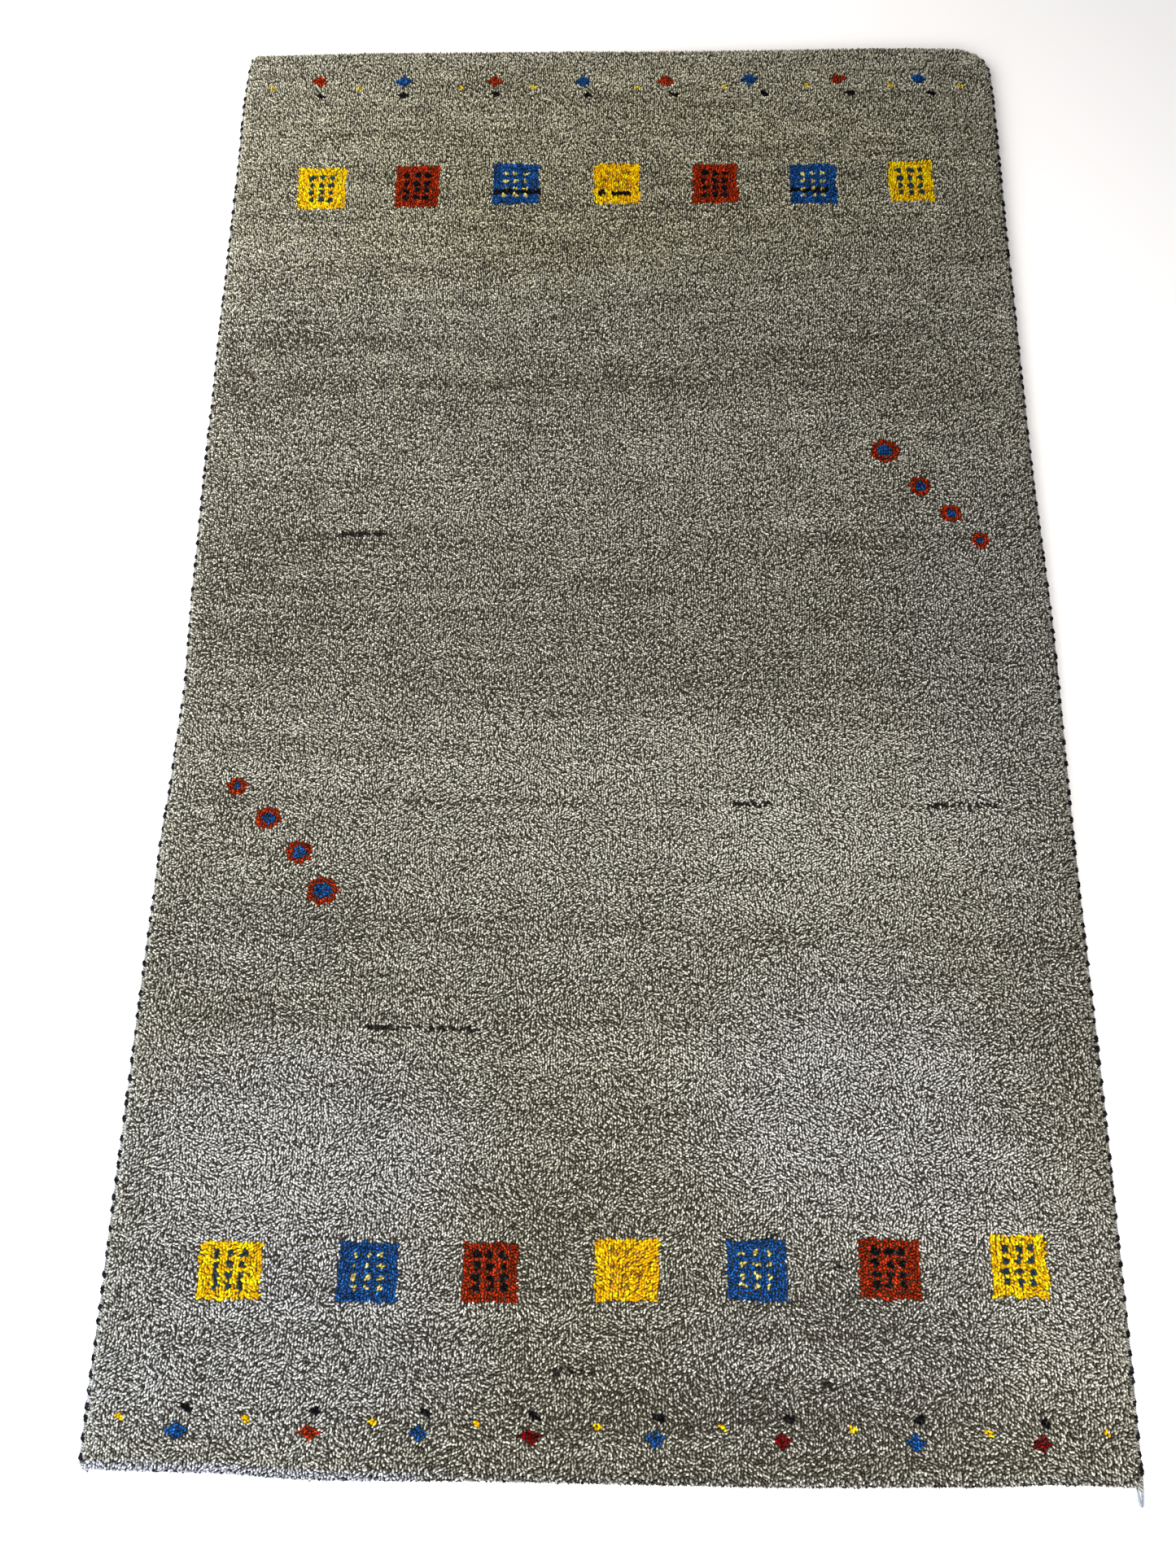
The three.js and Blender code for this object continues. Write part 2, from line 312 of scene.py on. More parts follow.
# Bands where the wool's dye runs darker or lighter: place, half height, ends, change
Band = namedtuple("Band", "y half x0 x1 change")
BANDS = tuple(starmap(Band, (
    (683, 10, -440, 140, 0.05), (662, 6, -440, -160, -0.08), (624, 6, -440, 0, 0.09),
    (596, 7, -440, 430, -0.05), (484, 7, -440, -160, 0.08), (465, 8, -440, 430, -0.06),
    (435, 9, -440, 430, 0.06), (394, 7, -440, 120, 0.07), (384, 6, 160, 430, -0.11),
    (367, 13, -440, -120, -0.09), (335, 6, -440, -160, 0.08), (325, 7, -140, 430, -0.06),
    (308, 6, -440, 330, -0.09), (254, 6, 160, 430, 0.07), (218, 8, -440, 140, 0.05),
    (136, 8, -440, -160, 0.06), (109, 12, -440, -160, -0.09), (109, 12, 160, 430, -0.07),
    (49, 6, -140, 140, -0.06), (37, 5, -440, 140, 0.06), (-25, 7, -440, 430, -0.05),
    (-53, 7, -440, 430, -0.05), (-102, 10, -440, 140, 0.08), (-152, 8, -440, 140, 0.07),
    (-184, 5, -440, 430, -0.08), (-202, 6, -140, 430, 0.07), (-242, 10, -140, 430, 0.06),
    (-271, 6, -440, -160, -0.06), (-314, 9, -440, 430, -0.07), (-341, 10, -440, 430, 0.06),
    (-403, 8, -440, 430, -0.06), (-440, 9, -440, 430, 0.07), (-470, 7, -440, -160, -0.1),
    (-520, 9, -440, 430, 0.07), (-560, 9, -440, -160, 0.07), (-590, 6, 160, 430, 0.08),
    (-631, 16, -440, 430, -0.07), (-664, 9, -440, 430, 0.07), (-741, 12, -440, 430, -0.06),
)))
BAND_REACH = 1.6  # from a band's middle to where it has faded out, in half heights
BAND_FADE = 60  # length over which a band fades at its ends

# Wide areas of another lightness, part real tone and part painted light, and of a painted cool cast
# of window light: middle, half size, change, share of the cool cast
Zone = namedtuple("Zone", "x y half_x half_y change cool")
ZONES = tuple(starmap(Zone, (
    (0, 634, 600, 230, 0.01, -0.75), (330, 554, 300, 280, 0.01, 0),
    (0, 236, 700, 300, -0.03, 0), (-110, 534, 200, 90, -0.02, -0.25),
    (0, 768, 600, 50, 0.06, 0), (-390, 325, 110, 110, -0.09, 0),
    (100, 325, 420, 60, -0.02, -0.1), (150, 236, 220, 70, 0.05, 0), (40, 176, 330, 70, 0.05, 0),
    (-370, 57, 110, 130, -0.1, 0), (20, -202, 470, 120, 0.13, 0),
    (200, -122, 260, 30, 0.08, 0), (240, -232, 180, 110, 0.12, 0.1),
    (300, -689, 60, 60, -0.08, 0.2), (-360, -331, 110, 60, 0, 0.3),
    (420, -331, 60, 150, -0.04, 0.2), (-300, -530, 200, 130, 0.17, 0.8),
    (230, -480, 170, 150, 0.18, 0.75), (-300, -689, 220, 100, 0.06, 0.9),
    (380, -619, 130, 120, 0.11, 0.3), (180, -699, 160, 90, -0.12, 0.5),
    (0, -440, 150, 70, 0.04, -0.1), (400, -3, 120, 240, 0, 0.45),
    (-40, -619, 120, 150, -0.09, -0.2), (120, -769, 330, 60, -0.13, 0),
    (-430, -739, 60, 60, 0.08, 0.3),
)))
ZONE_REACH = 1.3  # from a zone's middle to where it has faded out, in half sizes
# The tint of the painted cool window light, raised to each place's share of it
PAINTED_COOL_LIGHT = np.array((1.005, 1.03, 1.21, 1.0))
COOL_LEAST, COOL_MOST = -1.0, 1.8

# The tufts of the near edge, in painted light and shade: width of their strip and of the blend
# inward, where its left part, lighter and bluer with painted window light, ends and over what length,
# and each part's change and share of the painted cool cast, the right part darkened with painted
# shade
NEAR_STRIP, NEAR_STRIP_BLEND = 12, 6
NEAR_LEFT_END, NEAR_LEFT_BLEND = -120, 80
NEAR_LEFT_PAINTED_LIGHT, NEAR_RIGHT_PAINTED_SHADE = 0.10, -0.12
NEAR_LEFT_PAINTED_COOL_LIGHT, NEAR_RIGHT_PAINTED_COOL_SHADE = 1.8, 0.5


def value_noise(x, y, step_x, step_y, seed):
    """Smooth noise from -1 to 1 with features of about step_x by step_y."""
    size = 512
    grid = np.random.default_rng(seed).uniform(-1, 1, (size, size))
    a, b = x / step_x + size / 2, y / step_y + size / 2
    i, j = np.floor(a).astype(int), np.floor(b).astype(int)
    s, t = smooth(a - i), smooth(b - j)
    corner = [[grid[(j + dj) % size, (i + di) % size] for di in (0, 1)] for dj in (0, 1)]
    near = corner[0][0] * (1 - s) + corner[0][1] * s
    far = corner[1][0] * (1 - s) + corner[1][1] * s
    return near * (1 - t) + far * t


def band_changes(x, y):
    """What the bands add to the field's tone, each broken along its length."""
    broken = 0.75 + 0.5 * value_noise(x, y, 45, 8, 5)
    change = np.zeros_like(x)
    for band in BANDS:
        across = smooth((band.half * BAND_REACH - np.abs(y - band.y)) / band.half)
        along = smooth((x - band.x0) / BAND_FADE) * smooth((band.x1 - x) / BAND_FADE)
        change += band.change * across * along * broken
    return change


def zone_tone_and_painted_light(x, y):
    """What the wide areas add to the field's tone, part real tone and part painted light, and their
    share of the painted cool light.
    """
    change, cool = np.zeros_like(x), np.zeros_like(x)
    for zone in ZONES:
        away = np.hypot((x - zone.x) / zone.half_x, (y - zone.y) / zone.half_y)
        near = smooth(ZONE_REACH - away)
        change += zone.change * near
        cool += zone.cool * near
    return change, cool


def near_edge_painted_light_and_shade(x, y):
    """The same two values for the near edge's tufts: painted window light on the left, painted shade
    on the right.
    """
    inward = y + HALF_Y + wander(NEAR_EDGE, x)
    edge = smooth((NEAR_STRIP - inward) / NEAR_STRIP_BLEND)
    left = smooth((NEAR_LEFT_END - x) / NEAR_LEFT_BLEND)
    change = NEAR_LEFT_PAINTED_LIGHT * left + NEAR_RIGHT_PAINTED_SHADE * (1 - left)
    cool = NEAR_LEFT_PAINTED_COOL_LIGHT * left + NEAR_RIGHT_PAINTED_COOL_SHADE * (1 - left)
    return edge * change, edge * cool


def field_colours(x, y, shade):
    """The undyed field: streaks along the knot rows over wide soft areas, with painted light and
    shade in some of these areas and along the near edge.
    """
    tone = FIELD_TONE + band_changes(x, y)
    for streaks in STREAKS:
        strength = streaks.near + streaks.added * smooth((y - streaks.begins) / streaks.takes)
        tone += strength * value_noise(x, y, streaks.long, streaks.tall, streaks.seed)
    # Painted light and shade of the wide areas and of the near edge
    zone_tone_and_light_change, zone_painted_cool_light = zone_tone_and_painted_light(x, y)
    edge_painted_light_and_shade, edge_painted_cool_light = near_edge_painted_light_and_shade(x, y)
    tone += zone_tone_and_light_change + edge_painted_light_and_shade
    mix = np.clip(tone + HEATHER * shade, 0, 1)[..., None]
    colour = np.array(FIELD_DARK) * (1 - mix) + np.array(FIELD_LIGHT) * mix
    return colour * PAINTED_COOL_LIGHT ** np.clip(zone_painted_cool_light + edge_painted_cool_light, COOL_LEAST, COOL_MOST)[..., None]


def shares(x, y, mark):
    """Distances from a mark's middle as shares of its size, less what each tuft spreads."""
    wide, tall = mark.wide - 2 * TUFT_SPREAD, mark.tall - 2 * TUFT_SPREAD
    return (x - mark.x) / wide, (y - mark.y) / tall


def inside_oval(x, y, mark, swell=0.0):
    return np.hypot(*shares(x, y, mark)) < 0.5 + swell


def inside_box(x, y, mark):
    across, along = shares(x, y, mark)
    return (np.abs(across) < 0.5) & (np.abs(along) < 0.5)


def inside_diamond(x, y, mark):
    across, along = shares(x, y, mark)
    return np.abs(across) + np.abs(along) < DIAMOND_REACH


def knot(yarn, where, name):
    """Ties a yarn at every place of a mask."""
    yarn[where] = YARN_NAMES.index(name)


def knot_dashes(yarn, x, y, chance):
    for dash in DASHES:
        row = (x > dash.x0) & (x < dash.x1) & (np.abs(y - dash.y) < dash.tall / 2)
        name = "brown" if dash.share < FAINT_DASH else "soot"
        knot(yarn, row & (chance < dash.share), name)


def square_dots(square):
    """The twelve dots inside a square, in rows that lie wider apart at the far end."""
    far = square.y > 0
    swell = DOT_SWELL_FAR if far else 1.0
    yarn, wide, tall = DOTS[square.yarn]
    return [
        Mark(square.x + column, square.y + row, wide * swell, tall * swell, yarn)
        for row in (DOT_ROWS_FAR if far else DOT_ROWS_NEAR)
        for column in DOT_COLUMNS
    ]


def knot_squares(yarn, x, y, chance):
    for square in SQUARES:
        knot(yarn, inside_box(x, y, square), square.yarn)
        for dot in square_dots(square):
            share = OCHRE_SHARE if dot.yarn == "ochre" else 1.0
            knot(yarn, inside_oval(x, y, dot) & (chance < share), dot.yarn)


def knot_bars(yarn, x, y, chance):
    """The bars, which leave the pale dots as they are."""
    for bar in BARS:
        pale = yarn == YARN_NAMES.index("pale")
        knot(yarn, inside_box(x, y, bar) & ~pale & (chance < BAR_SHARE), "black")


def knot_small_marks(yarn, x, y):
    for mark in FAR_DIAMONDS + NEAR_DIAMONDS:
        knot(yarn, inside_diamond(x, y, mark), mark.yarn)
    for place, wide, tall, name, across in SPOT_ROWS:
        for middle in across:
            spot = Mark(middle, place, wide, tall, name)
            knot(yarn, inside_oval(x + SPOT_LEAN * (y - spot.y), y, spot), spot.yarn)


def knot_rosettes(yarn, x, y):
    for rosette in ROSETTES:
        angle = np.arctan2(y - rosette.y, x - rosette.x)
        lobes = LOBE_DEPTH * np.sin(LOBES * angle + rosette.x)
        knot(yarn, inside_oval(x, y, rosette, lobes), "red")
        heart = Mark(rosette.x, rosette.y, rosette.heart_wide, rosette.heart_tall, "blue")
        knot(yarn, inside_oval(x, y, heart), heart.yarn)


def chart(x, y):
    """Which yarn each knot is: an index into YARN_NAMES, or -1 in the field."""
    yarn = np.full(x.shape, -1)
    x, y = x + value_noise(x, y, 9, 9, 21), y + value_noise(x, y, 9, 9, 22)
    chance = rng.random(x.shape)
    knot_dashes(yarn, x, y, chance)
    knot_squares(yarn, x, y, chance)
    knot_bars(yarn, x, y, chance)
    knot_small_marks(yarn, x, y)
    knot_rosettes(yarn, x, y)
    return yarn


def knot_colours(x, y, shade):
    """Colour of each knot of the pile, field and chart together, and the share of it that painted
    shade leaves at the foot.
    """
    colour = field_colours(x, y, shade)
    yarn = chart(x, y)
    dyed = yarn >= 0
    lively = np.exp(rng.normal(0, DYE_STRAY, (*x.shape, 1))) ** COLOUR_ONLY
    palette = np.array([YARNS[name] for name in YARN_NAMES])
    colour[dyed] = (palette[yarn] * lively)[dyed]
    return np.clip(colour, DARKEST, 1.0)


# Meshes


MAP_MARGIN = 0.01  # of a flat map


def wool_piece(name, points, triangles, uv, material, yarn, tip=None):
    """A piece from triangles over points in millimetres about the outline's middle.

    yarn is a colour for each triangle, and tip a value for each point, from foot to cut end."""
    mesh = bpy.data.meshes.new(name)
    mesh.vertices.add(len(points))
    places = (points + MIDDLE) * MM
    mesh.vertices.foreach_set("co", np.ascontiguousarray(places, np.float32).ravel())
    mesh.loops.add(3 * len(triangles))
    mesh.loops.foreach_set("vertex_index", np.ascontiguousarray(triangles, np.int32).ravel())
    mesh.polygons.add(len(triangles))
    mesh.polygons.foreach_set("loop_start", np.arange(0, 3 * len(triangles), 3, dtype=np.int32))
    layer = mesh.uv_layers.new(name="OFBake", do_init=False)
    layer.uv.foreach_set("vector", np.ascontiguousarray(uv, np.float32).ravel())
    mesh.update(calc_edges=True)
    mesh.materials.append(material)
    colours = np.ones((len(triangles), 4), np.float32)
    colours[:, :yarn.shape[1]] = np.clip(yarn, 0, 1)
    dye = mesh.attributes.new("yarn", "FLOAT_COLOR", "FACE")
    dye.data.foreach_set("color", colours.ravel())
    if tip is not None:
        height = mesh.attributes.new("tip", "FLOAT", "POINT")
        height.data.foreach_set("value", np.ascontiguousarray(tip, np.float32))
    piece = bpy.data.objects.new(name, mesh)
    bpy.context.scene.collection.objects.link(piece)
    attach(piece, "root")
    return piece


def flat_uv(points, triangles):
    """A map straight down, stretched to fill the image but for a thin margin."""
    least, span = points[:, :2].min(0), np.ptp(points[:, :2], axis=0)
    share = (points[:, :2] - least) / span
    return (MAP_MARGIN + (1 - 2 * MAP_MARGIN) * share)[triangles]


# Materials


class Nodes:
    """Short calls for building one material's node tree."""

    def __init__(self, name, roughness, sheen):
        self.material = bpy.data.materials.new(name)
        self.material.use_nodes = True
        self.tree = self.material.node_tree
        self.shader = self.tree.nodes["Principled BSDF"]
        self.shader.inputs["Roughness"].default_value = roughness
        self.shader.inputs["Sheen Weight"].default_value = sheen
        self.shader.inputs["Sheen Roughness"].default_value = 0.5
        self.shader.inputs["Specular IOR Level"].default_value = 0.0

    def add(self, kind, output, inputs, **settings):
        """A new node, its inputs linked to sockets or set to constant values."""
        node = self.tree.nodes.new(kind)
        for name, value in settings.items():
            setattr(node, name, value)
        for name, value in inputs.items():
            if isinstance(value, bpy.types.NodeSocket):
                self.tree.links.new(value, node.inputs[name])
            else:
                node.inputs[name].default_value = value
        return node.outputs[output]

    def attribute(self, name, output):
        return self.add("ShaderNodeAttribute", output, {}, attribute_name=name)

    def coordinates(self):
        return self.add("ShaderNodeTexCoord", "Object", {})

    def noise(self, scale):
        inputs = {"Vector": self.coordinates(), "Scale": scale, "Detail": 2.0, "Roughness": 0.5}
        return self.add("ShaderNodeTexNoise", "Fac", inputs)

    def cells(self, scale):
        """A value from 0 to 1 that differs from one small cell to the next."""
        inputs = {"Vector": self.coordinates(), "Scale": scale}
        colour = self.add("ShaderNodeTexVoronoi", "Color", inputs)
        return self.add("ShaderNodeSeparateColor", "Red", {"Color": colour})

    def ranged(self, source, to_low, to_high, low=0.0, high=1.0):
        """The source's values from low to high, moved to the range from to_low to to_high."""
        inputs = {"Value": source, "From Min": low, "From Max": high}
        inputs.update({"To Min": to_low, "To Max": to_high})
        return self.add("ShaderNodeMapRange", "Result", inputs)

    def colour(self, source, factor):
        """Gives the shader a colour times a factor."""
        inputs = {"Vector": source, "Scale": factor}
        scaled = self.add("ShaderNodeVectorMath", "Vector", inputs, operation="SCALE")
        self.tree.links.new(scaled, self.shader.inputs["Base Color"])

    def bump(self, height, distance, strength):
        inputs = {"Height": height, "Distance": distance, "Strength": strength}
        normal = self.add("ShaderNodeBump", "Normal", inputs)
        self.tree.links.new(normal, self.shader.inputs["Normal"])


def tufted_wool(name, foot_level, lit_level):
    """Wool whose yarns are each their own colour, darkened down between them with painted shade."""
    n = Nodes(name, roughness=1.0, sheen=0.0)
    tip = n.attribute("tip", "Fac")
    # Painted shade: each tuft darkens from its cut end down to its foot, where only the yarn's foot
    # share of its colour is left
    height = n.ranged(tip, to_low=0.0, to_high=1.0, low=foot_level, high=lit_level)
    levels = {"Factor": height, "A": n.attribute("yarn", "Alpha"), "B": 1.0}
    painted_shade_factor = n.add("ShaderNodeMix", "Result", levels, data_type="FLOAT")
    fibres = n.ranged(n.cells(scale=1250), to_low=0.6, to_high=1.4)
    shown = n.add("ShaderNodeMath", "Value", {0: fibres, 1: painted_shade_factor}, operation="MULTIPLY")
    n.colour(n.attribute("yarn", "Color"), shown)
    n.bump(n.noise(scale=1700), distance=0.0005, strength=0.5)
    return n.material


def ground_wool():
    """The woven back: rows of knot backs, ridged across the rug."""
    n = Nodes("ground_wool", roughness=0.95, sheen=0.15)
    fibres = n.ranged(n.cells(scale=420), to_low=0.55, to_high=1.3)
    n.colour(n.attribute("yarn", "Color"), fibres)
    inputs = {"Vector": n.coordinates(), "Scale": 115, "Distortion": 1.2}
    rows = n.add("ShaderNodeTexWave", "Fac", inputs, bands_direction="Y", wave_profile="SIN")
    n.bump(rows, distance=0.0008, strength=0.8)
    return n.material


def floor_paint():
    """A plain pale studio floor."""
    n = Nodes("floor_paint", roughness=0.8, sheen=0.0)
    pale = n.add("ShaderNodeRGB", 0, {})
    pale.default_value = (0.97, 0.955, 0.955, 1.0)
    n.colour(pale, n.ranged(n.noise(scale=3.0), to_low=0.985, to_high=1.0))
    return n.material


# The pile


LATTICE_MARGIN = 8.0  # how far the lattice of tufts runs past the rectangle
TUFT_JITTER = 0.3  # as a share of the spacing
TUFT_CLEAR = 0.4  # from the rectangle's edge to the nearest tuft
SHADE_CONTRAST = 0.16  # how far each tuft's shade is pushed away from its four neighbours'
MEANDER, MEANDER_LONG, MEANDER_SHORT = 3.5, 120, 26
ANGLE_STRAY = 0.35
LONG_STRAY, WIDE_STRAY = 0.25, 0.15  # of a foot's size, as shares
TOP_STRAY = 0.3  # of a cut end's height
LEAN = 0.35  # of a cut end to each side
PLY_STRAY = 0.15  # of the colour of a tuft's four faces


def meander(a, b):
    """A plain lattice drawn a little out of line, so that no straight rows show."""
    x = a + MEANDER * value_noise(a, b, MEANDER_LONG, MEANDER_SHORT, 31)
    return x, b + MEANDER * value_noise(x, b, MEANDER_SHORT, MEANDER_LONG, 32)


def tuft_places():
    """Middles of the tufts in the plain rectangle, in staggered and disturbed rows, and a shade
    for each that differs from its neighbours'."""
    end_x, end_y = HALF_X + LATTICE_MARGIN, HALF_Y + LATTICE_MARGIN
    columns, rows = np.arange(-end_x, end_x, TUFT_ACROSS), np.arange(-end_y, end_y, TUFT_ALONG)
    a, b = np.meshgrid(columns, rows)
    b[:, ::2] += TUFT_ALONG / 2
    shade = rng.normal(0, 1, a.shape)
    neighbours = sum(np.roll(shade, step, axis) for axis in (0, 1) for step in (-1, 1))
    shade -= SHADE_CONTRAST * neighbours
    a += rng.uniform(-TUFT_JITTER, TUFT_JITTER, a.shape) * TUFT_ACROSS
    b += rng.uniform(-TUFT_JITTER, TUFT_JITTER, b.shape) * TUFT_ALONG
    u, v = meander(a.ravel(), b.ravel())
    kept = (np.abs(u) < HALF_X - TUFT_CLEAR) & (np.abs(v) < HALF_Y - TUFT_CLEAR)
    return u[kept], v[kept], shade.ravel()[kept]


def tuft_angles(u, v):
    """Which way each cut end runs: much as its neighbours do."""
    flow = 1.9 * value_noise(u, v, 21, 21, 33) + 0.9 * value_noise(u, v, 8, 8, 34)
    return np.pi / 2 + flow + rng.normal(0, ANGLE_STRAY, u.shape)


def tuft_points(at, normal, angle, scale):
    """Four corners of each tuft's foot and its top."""
    level_run = np.stack([np.cos(angle), np.sin(angle), np.zeros_like(angle)], -1)
    side = unit(np.cross(normal, level_run))
    run = np.cross(side, normal)
    each = (len(at), 1)
    long = scale * FOOT_HALF_LONG * rng.uniform(1 - LONG_STRAY, 1 + LONG_STRAY, each) * run
    wide = scale * FOOT_HALF_WIDE * rng.uniform(1 - WIDE_STRAY, 1 + WIDE_STRAY, each) * side
    foot = at - scale * TUFT_DEPTH * normal
    top = at + scale * (TUFT_PROUD + rng.normal(0, TOP_STRAY, each)) * normal
    top += LEAN * scale * (rng.normal(0, 1, each) * side + rng.normal(0, 1, each) * run)
    corners = [foot + long + wide, foot - long + wide, foot - long - wide, foot + long - wide]
    return np.stack(corners + [top], 1).reshape(-1, 3)


def tufts(name, at, normal, angle, colours, material, scale=1.0):
    """Small pyramids of four triangles, each with its foot sunk among its neighbours."""
    points = tuft_points(at, normal, angle, scale)
    faces = np.array([[0, 1, 4], [1, 2, 4], [2, 3, 4], [3, 0, 4]])
    triangles = (5 * np.arange(len(at))[:, None, None] + faces).reshape(-1, 3)
    ply = np.exp(rng.normal(0, PLY_STRAY, (len(triangles), 1))) ** COLOUR_ONLY
    uv, tip = flat_uv(points, triangles), np.tile([0, 0, 0, 0, 1], len(at))
    yarn = colours.repeat(len(faces), 0) * ply
    return wool_piece(name, points, triangles, uv, material, yarn, tip)


def pile(material):
    """The field of tufts, in bands along the rug."""
    u, v, shade = tuft_places()
    at, normal, angle = surface(u, v), surface_normals(u, v), tuft_angles(u, v)
    colours = knot_colours(at[:, 0], at[:, 1], shade)
    band = np.clip(((v + HALF_Y) / (2 * HALF_Y) * PILE_BANDS).astype(int), 0, PILE_BANDS - 1)
    return [
        tufts(f"pile_{k + 1}", at[band == k], normal[band == k], angle[band == k],
              colours[band == k], material)
        for k in range(PILE_BANDS)
    ]


# Rows of tufts round the rim: distance out from the lip, height, slope of the tuft, share kept
RimRow = namedtuple("RimRow", "out z slope kept")
END_ROWS = (
    RimRow(0.0, 5.0, 0.15, 1.0), RimRow(0.0, 3.5, -0.15, 1.0), RimRow(-0.5, 2.2, -0.4, 1.0),
)
SIDE_ROWS = (
    RimRow(-0.9, 8.9, 0.8, 1.0), RimRow(0.1, 7.6, 1.0, 0.65), RimRow(1.6, 7.0, 0.9, 0.25),
)
RIM_STRAY = (0.4, 0.35, 0.15, 0.0)  # of a row's first three values
RIM_SCALE = 0.62  # the rim's tufts are smaller
RIM_LEAST_HEIGHT = 1.9
RIM_SHIFT = 1.4  # of a tuft along its row
RIM_TURN, RIM_TURN_STRAY = 1.57, 0.6  # angle of a cut end from the outward direction


def rim_row(end, side, u, v, lip):
    """Places, normals and angles of one row of tufts round the rim."""
    out, share = outward(lip), side_share(u, v)[:, None]
    along = np.stack([-out[:, 1], out[:, 0]], -1)
    row = np.array(end) * (1 - share) + np.array(side) * share
    row += rng.normal(0, RIM_STRAY, row.shape)
    patchy = 0.5 + 0.8 * value_noise(u, v, 11, 11, 35) + rng.normal(0, 0.15, len(u))
    kept = (patchy < row[:, 3]) | (row[:, 3] > 0.99)
    shift = rng.uniform(-RIM_SHIFT, RIM_SHIFT, (len(u), 1))
    height = np.maximum(row[:, 1:2], RIM_LEAST_HEIGHT)
    at = np.concatenate([lip + out * row[:, :1] + along * shift, height], 1)
    normal = unit(np.concatenate([out * np.cos(row[:, 2:3]), np.sin(row[:, 2:3])], 1))
    turn = rng.normal(RIM_TURN, RIM_TURN_STRAY, len(u))
    angle = np.arctan2(out[:, 1], out[:, 0]) + turn
    return at[kept], normal[kept], angle[kept]


def rim_tufts(material):
    """The tufts that hang over the edge all the way round."""
    u, v = rim_loop(RIM_SCALE * TUFT_ACROSS)
    lip = np.stack(placed(u, v), -1)
    rows = [rim_row(end, side, u, v, lip) for end, side in zip(END_ROWS, SIDE_ROWS)]
    at, normal, angle = (np.concatenate(part) for part in zip(*rows))
    colours = knot_colours(at[:, 0], at[:, 1], rng.normal(0, 1, len(at)))
    return tufts("pile_rim", at, normal, angle, colours, material, RIM_SCALE)


# Sheets on a grid of points


def grid_triangles(index):
    """Two triangles for each cell of a grid of point numbers."""
    a, b, c, d = index[:-1, :-1], index[:-1, 1:], index[1:, 1:], index[1:, :-1]
    return np.concatenate([np.stack([a, b, c], -1), np.stack([a, c, d], -1)]).reshape(-1, 3)


def grid_rim(index):
    """The numbers of a grid's outer points, counter-clockwise."""
    return np.concatenate([index[0, :-1], index[:-1, -1], index[-1, :0:-1], index[:0:-1, 0]])


def wall(upper, lower):
    """Triangles between two closed loops of point numbers, facing out."""
    after = np.roll(lower, -1)
    return np.concatenate([
        np.stack([upper, lower, after], -1), np.stack([upper, after, np.roll(upper, -1)], -1)
    ])


CORE_DEPTH = TUFT_DEPTH - 0.5  # below the level of the pile
CORE_STEP = 22.0
CORE_INSET = 1.1  # of the core's closed rim behind the solid's
SHOULDER_LINES = np.array([0, 0.8, 2.2, 4.5, 8.0, 12.5])  # in from the lip


def core_lines(half):
    """Lines of a grid over the rectangle, close together at the shoulder."""
    shoulder = half - SHOULDER_LINES
    count = math.ceil(2 * shoulder[-1] / CORE_STEP)
    middle = np.linspace(-shoulder[-1], shoulder[-1], count + 1)[1:-1]
    return np.concatenate([-shoulder, middle, shoulder[::-1]])


def pile_core(material):
    """The pile below the tufts as a dark sheet of painted shade, closed down to the woven edge."""
    u, v = np.meshgrid(core_lines(HALF_X), core_lines(HALF_Y))
    sunken = surface(u, v) - CORE_DEPTH * surface_normals(u, v)
    index = np.arange(u.size).reshape(u.shape)
    rim = grid_rim(index)
    rim_u, rim_v = u.ravel()[rim], v.ravel()[rim]
    edge = np.stack(placed(rim_u, rim_v), -1)
    out, share = outward(edge), side_share(rim_u, rim_v)
    points, triangles, upper = [sunken.reshape(-1, 3)], [grid_triangles(index)], rim
    for step, (end, side) in enumerate(zip(END_STEPS, SIDE_STEPS)):
        inset = end[0] + (side[0] - end[0]) * share + CORE_INSET
        z = end[1] + (side[1] - end[1]) * share
        points.append(np.concatenate([edge - out * inset[:, None], z[:, None]], 1))
        lower = u.size + step * len(rim) + np.arange(len(rim))
        triangles.append(wall(upper, lower))
        upper = lower
    points, triangles = np.concatenate(points), np.concatenate(triangles)
    # The core stands partway down the painted shade's range, so the dark field wool is darkened
    # further
    uv, tip = flat_uv(points, triangles), np.full(len(points), 0.5)
    yarn = np.tile(FIELD_DARK, (len(triangles), 1))
    return wool_piece("pile_core", points, triangles, uv, material, yarn, tip)


# Tubes, for yarns and cords

# Where a strip of tube and an end cap lie in their cell of the map, as shares of the cell
STRIP_CORNER, STRIP_LONG, STRIP_AROUND = 0.04, 0.8, 0.92
CAP_MIDDLE, CAP_HALF = (0.9, 0.5), (0.05, 0.3)


def tube_points(paths, radii, angle, across, flatten):
    """A ring of points round each point of each path."""
    along = unit(np.gradient(paths, axis=1))
    second = unit(np.cross(along, np.broadcast_to(across, paths.shape)))
    first = np.cross(second, along)
    spokes = (
        np.cos(angle)[:, None] * first[:, :, None] * flatten
        + np.sin(angle)[:, None] * second[:, :, None]
    )
    return (paths[:, :, None] + radii[..., None, None] * spokes).reshape(-1, 3)


def quads(near_left, near_right, far_right, far_left):
    """Two triangles for each four corners, one after the other."""
    return np.stack([
        np.stack([near_left, near_right, far_right], 1),
        np.stack([near_left, far_right, far_left], 1),
    ], 1)


def tube_walls(tube, ring, side, rings, sides):
    """The triangles round the tubes between each ring and the next."""
    row, after = (tube * rings + ring) * sides, (side + 1) % sides
    corners = (row + side, row + after, row + sides + after, row + sides + side)
    return quads(*corners).reshape(-1, 3)


